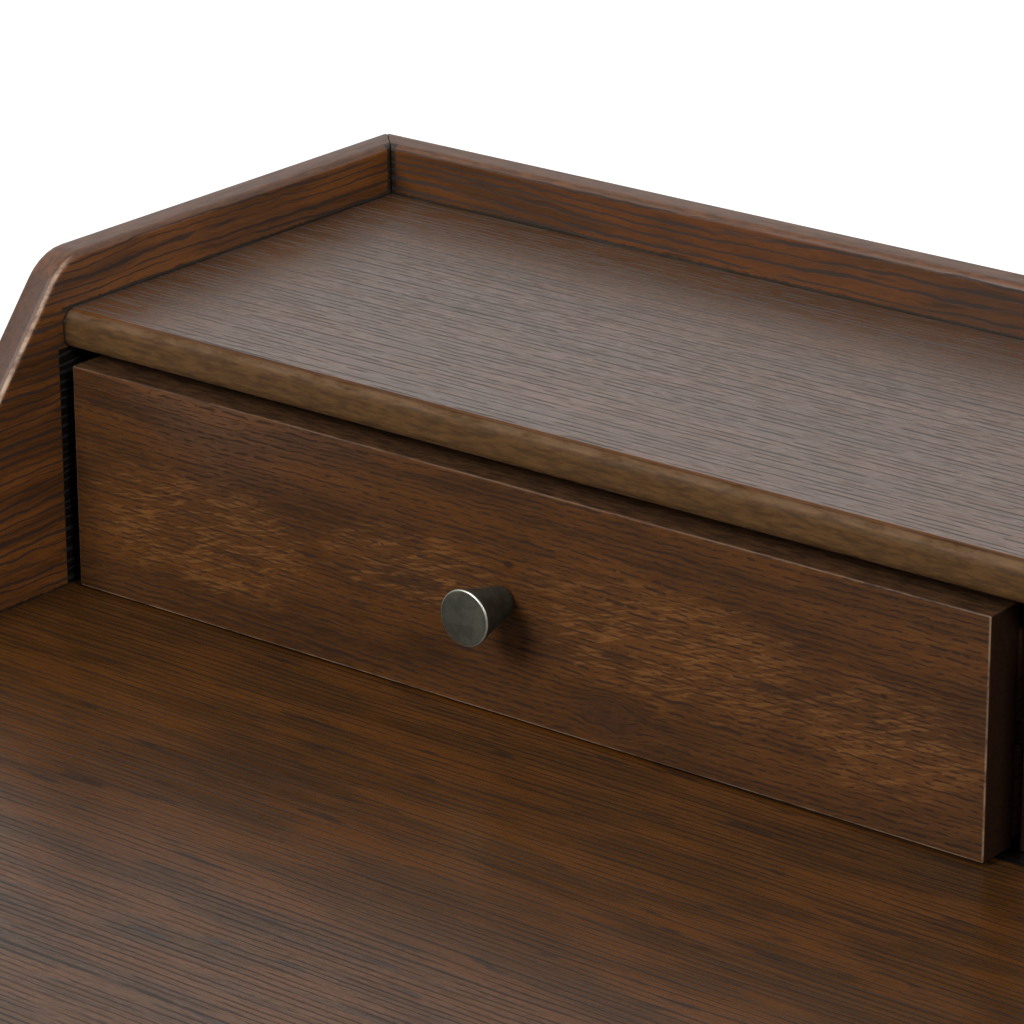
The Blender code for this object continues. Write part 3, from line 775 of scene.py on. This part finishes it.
def make_knob(name, material):
    """A flared knob with a softly rounded rim, turned about the Y axis, face towards -Y."""
    low, high = (Vector(corner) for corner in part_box(name))
    middle = (low + high) / 2
    mesh = bpy.data.meshes.new(name + "_finished")
    form = bmesh.new()
    rings = []
    for radius, back in knob_profile((high.x - low.x) / 2, high.y - low.y):
        steps = KNOB_STEPS if radius else 1
        ring = []
        for step in range(steps):
            angle = 2 * math.pi * step / steps
            offset = Vector((radius * math.cos(angle), 0.0, radius * math.sin(angle)))
            ring.append(form.verts.new(Vector((middle.x, low.y + back, middle.z)) + offset))
        rings.append(ring)
    for near, far in zip(rings, rings[1:]):
        for step in range(KNOB_STEPS):
            after = (step + 1) % KNOB_STEPS
            corners = [
                near[step % len(near)],
                near[after % len(near)],
                far[after % len(far)],
                far[step % len(far)],
            ]
            form.faces.new(list(dict.fromkeys(corners)))
    bmesh.ops.recalc_face_normals(form, faces=form.faces)
    form.to_mesh(mesh)
    form.free()
    stand_for(name, mesh, material)
    mesh.set_sharp_from_angle(angle=KNOB_CREASE)


def make_floor():
    """A pale floor."""
    mesh = bpy.data.meshes.new("floor")
    form = bmesh.new()
    bmesh.ops.create_grid(form, x_segments=1, y_segments=1, size=FLOOR_HALF_SIZE)
    form.to_mesh(mesh)
    form.free()
    floor = bpy.data.objects.new("floor", mesh)
    bpy.context.scene.collection.objects.link(floor)
    paint = Surface("floor_paint")
    scuffs = paint.speckle(FLOOR_SCUFF, 4.0)
    paint.set(paint.blend(scuffs, *FLOOR_COLOURS), paint.between(scuffs, 0.75, 0.85))
    paint.shader.inputs["Emission Color"].default_value = (1.0, 1.0, 1.0, 1.0)
    paint.shader.inputs["Emission Strength"].default_value = FLOOR_GLOW
    mesh.materials.append(paint.material)


def make_sky():
    """A studio that is bright behind the desk, a little less so overhead, and dim before it."""
    world = bpy.data.worlds.new("studio")
    bpy.context.scene.world = world
    sky = Tree(world)
    direction = sky.parts(sky.add("ShaderNodeTexCoord", {}).outputs["Generated"])
    front = sky.product(sky.ramp(direction[Y], 0.25, -0.55), sky.ramp(direction[Z], 0.75, 0.35))
    overhead = sky.ramp(direction[Z], 0.40, 0.85)
    light = sky.blend(overhead, SKY_COLOUR, OVERHEAD_COLOUR)
    light = sky.blend(front, light, SKY_BEFORE_DESK)
    sky.feed(sky.nodes["Background"].inputs["Color"], light)


def soft_box(name, place, target, width, height, power):
    light = bpy.data.lights.new(name, "AREA")
    light.shape = "RECTANGLE"
    light.size = width
    light.size_y = height
    light.energy = power
    lamp = bpy.data.objects.new(name, light)
    lamp.location = place
    lamp.rotation_euler = (Vector(target) - Vector(place)).to_track_quat("-Z", "Y").to_euler()
    bpy.context.scene.collection.objects.link(lamp)


def make_camera():
    camera = bpy.data.cameras.new("camera")
    camera.sensor_width = CAMERA_SENSOR
    camera.lens = CAMERA_LENS
    camera.clip_end = CAMERA_REACH
    holder = bpy.data.objects.new("camera", camera)
    turn = Matrix.Rotation(math.radians(CAMERA_AZIMUTH), 4, "Z")
    pitch = Matrix.Rotation(math.radians(90.0 - CAMERA_PITCH), 4, "X")
    roll = Matrix.Rotation(math.radians(CAMERA_ROLL), 4, "Z")
    holder.matrix_world = Matrix.Translation(CAMERA_PLACE) @ turn @ pitch @ roll
    bpy.context.scene.collection.objects.link(holder)
    bpy.context.scene.camera = holder


def finish_boards():
    """The gallery, the writing surface and the two case boards below it."""
    shelf_low, shelf_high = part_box("gallery_shelf")
    desktop_low, desktop_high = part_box("desktop")
    gallery_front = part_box("gallery_drawer_left_front")[0][Y]

    desktop_seams = [(X, desktop_low[X], DESKTOP_END_SEAM), (X, desktop_high[X], DESKTOP_END_SEAM)]
    # Painted shade on the desktop under the drawers, behind the drawer fronts.
    shade_under_drawers = (Y, gallery_front + FRONT_SETBACK, 1.0)
    finish_node(
        "desktop",
        oak("desktop_oak_finish", (X, Y, Z), DESKTOP_LOOK, 1, desktop_seams, shade_bounds=[shade_under_drawers]),
    )

    shelf_seams = [
        (X, shelf_low[X], SHELF_END_SEAM),
        (X, shelf_high[X], SHELF_END_SEAM),
        (Y, shelf_high[Y], SHELF_BACK_SEAM),
    ]
    shelf = finish_node("gallery_shelf", oak("shelf_oak_finish", (X, Y, Z), SHELF_LOOK, 2, shelf_seams))
    add_edge_material(shelf, oak("shelf_edge_finish", (X, Y, Z), SHELF_EDGE_LOOK, 2, shelf_seams))

    finish_node("case_bottom", oak("case_bottom_finish", (X, Y, Z), FRAME_LOOK, 3))

    back_seams = [
        (Z, shelf_high[Z], BACK_SHELF_SEAM),
        (X, shelf_low[X], BACK_CORNER_SEAM),
        (X, shelf_high[X], BACK_CORNER_SEAM),
    ]
    back_inner = (Y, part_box("back_panel")[0][Y] + INNER_SKIN, -1.0)
    finish_node(
        "back_panel", oak("back_oak_finish", (X, Z, Y), BACK_LOOK, 4, back_seams, inner=back_inner)
    )

    side_seams = [
        (Z, shelf_high[Z], SIDE_SHELF_SEAM, Y, shelf_low[Y]),
        (Z, desktop_high[Z], SIDE_DESKTOP_SEAM),
        (Y, shelf_high[Y], SIDE_CORNER_SEAM),
    ]
    # Painted shade on the side panels' inner faces inside the gallery, behind the drawer fronts.
    gallery_shade_bounds = [(Y, gallery_front, 1.0), (Z, shelf_low[Z], -1.0), (Z, desktop_high[Z], 1.0)]
    left_inner = (X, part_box("side_panel_left")[1][X] - INNER_SKIN, 1.0)
    right_inner = (X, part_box("side_panel_right")[0][X] + INNER_SKIN, -1.0)
    panels = (("side_panel_left", left_inner), ("side_panel_right", right_inner))
    for seed, (name, inner) in enumerate(panels, 5):
        shade_bounds = [*gallery_shade_bounds, inner]
        wood = oak(name + "_finish", (Y, Z, X), SIDE_LOOK, seed, side_seams, inner=inner, shade_bounds=shade_bounds)
        finish_node(name, wood)


def finish_frame():
    """The dividers, rails and legs."""
    for seed, name in enumerate(("gallery_divider", "case_divider", "rail_left", "rail_right"), 7):
        finish_node(name, oak(name + "_finish", (Y, Z, X), FRAME_LOOK, seed))
    for seed, name in enumerate(("rail_front", "rail_back"), 11):
        finish_node(name, oak(name + "_finish", (X, Z, Y), FRAME_LOOK, seed))
    legs = [f"leg_{end}_{side}" for end in ENDS for side in SIDES]
    for seed, name in enumerate(legs, 13):
        finish_node(name, oak(name + "_finish", (Z, X, Y), FRAME_LOOK, seed))


def drawer_front_oak(front, seed):
    """The figured oak of one drawer front, with its marks placed by shares of its width and height."""
    low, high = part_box(front)
    size = high - low

    def at(along, up):
        return low[X] + along * size[X], low[Z] + up * size[Z]

    return oak(
        f"{front}_finish",
        (X, Z, Y),
        DRAWER_FRONT_LOOK,
        seed,
        knot=(*at(*KNOT_SHARES), KNOT_SIZE),
        pin_knots=[(*at(along, up), radius) for along, up, radius in PIN_KNOTS],
        rubbed=[
            (Z, low[Z], RUBBED_LOWER),
            (Z, high[Z], RUBBED_UPPER),
            (X, low[X], RUBBED_LEFT),
            (X, high[X], RUBBED_RIGHT),
        ],
        figures=[(*at(along, up), *half_sizes) for along, up, *half_sizes in FIGURES],
    )


def finish_drawers():
    metal = gunmetal("gunmetal_finish")
    steel = bright_steel("screw_steel_finish")
    box_long = oak("drawer_side_finish", (Y, Z, X), DRAWER_BOX_LOOK, 21)
    box_cross = oak("drawer_back_finish", (X, Z, Y), DRAWER_BOX_LOOK, 22)
    box_flat = oak("drawer_bottom_finish", (X, Y, Z), DRAWER_BOX_LOOK, 23)
    # Near-black runners: painted shade in the slit beside the drawer fronts.
    shaded_runner_wood = oak("runner_painted_shade_finish", (Y, Z, X), SHADED_RUNNER_LOOK, 24)
    for seed, drawer in enumerate(DRAWERS, 31):
        front = drawer + "_front"
        finish_node(front, drawer_front_oak(front, seed), ease=DRAWER_FRONT_EASE)
        for side in SIDES:
            finish_node(f"{drawer}_side_{side}", box_long)
            finish_node(f"{drawer}_runner_{side}", shaded_runner_wood)
        finish_node(drawer + "_back", box_cross)
        finish_node(drawer + "_bottom", box_flat)
        make_knob(drawer + "_knob", metal)
        finish_node(drawer + "_knob_screw", steel, ease=0.0)


def finish_glides():
    plastic = moulded_plastic("glide_plastic_finish")
    for end in ENDS:
        for side in SIDES:
            finish_node(f"glide_{end}_{side}", plastic)


bpy.context.scene.view_settings.view_transform = "Standard"
make_floor()
make_sky()
for settings in SOFT_BOXES:
    soft_box(**settings)
make_camera()
finish_boards()
finish_frame()
finish_drawers()
finish_glides()
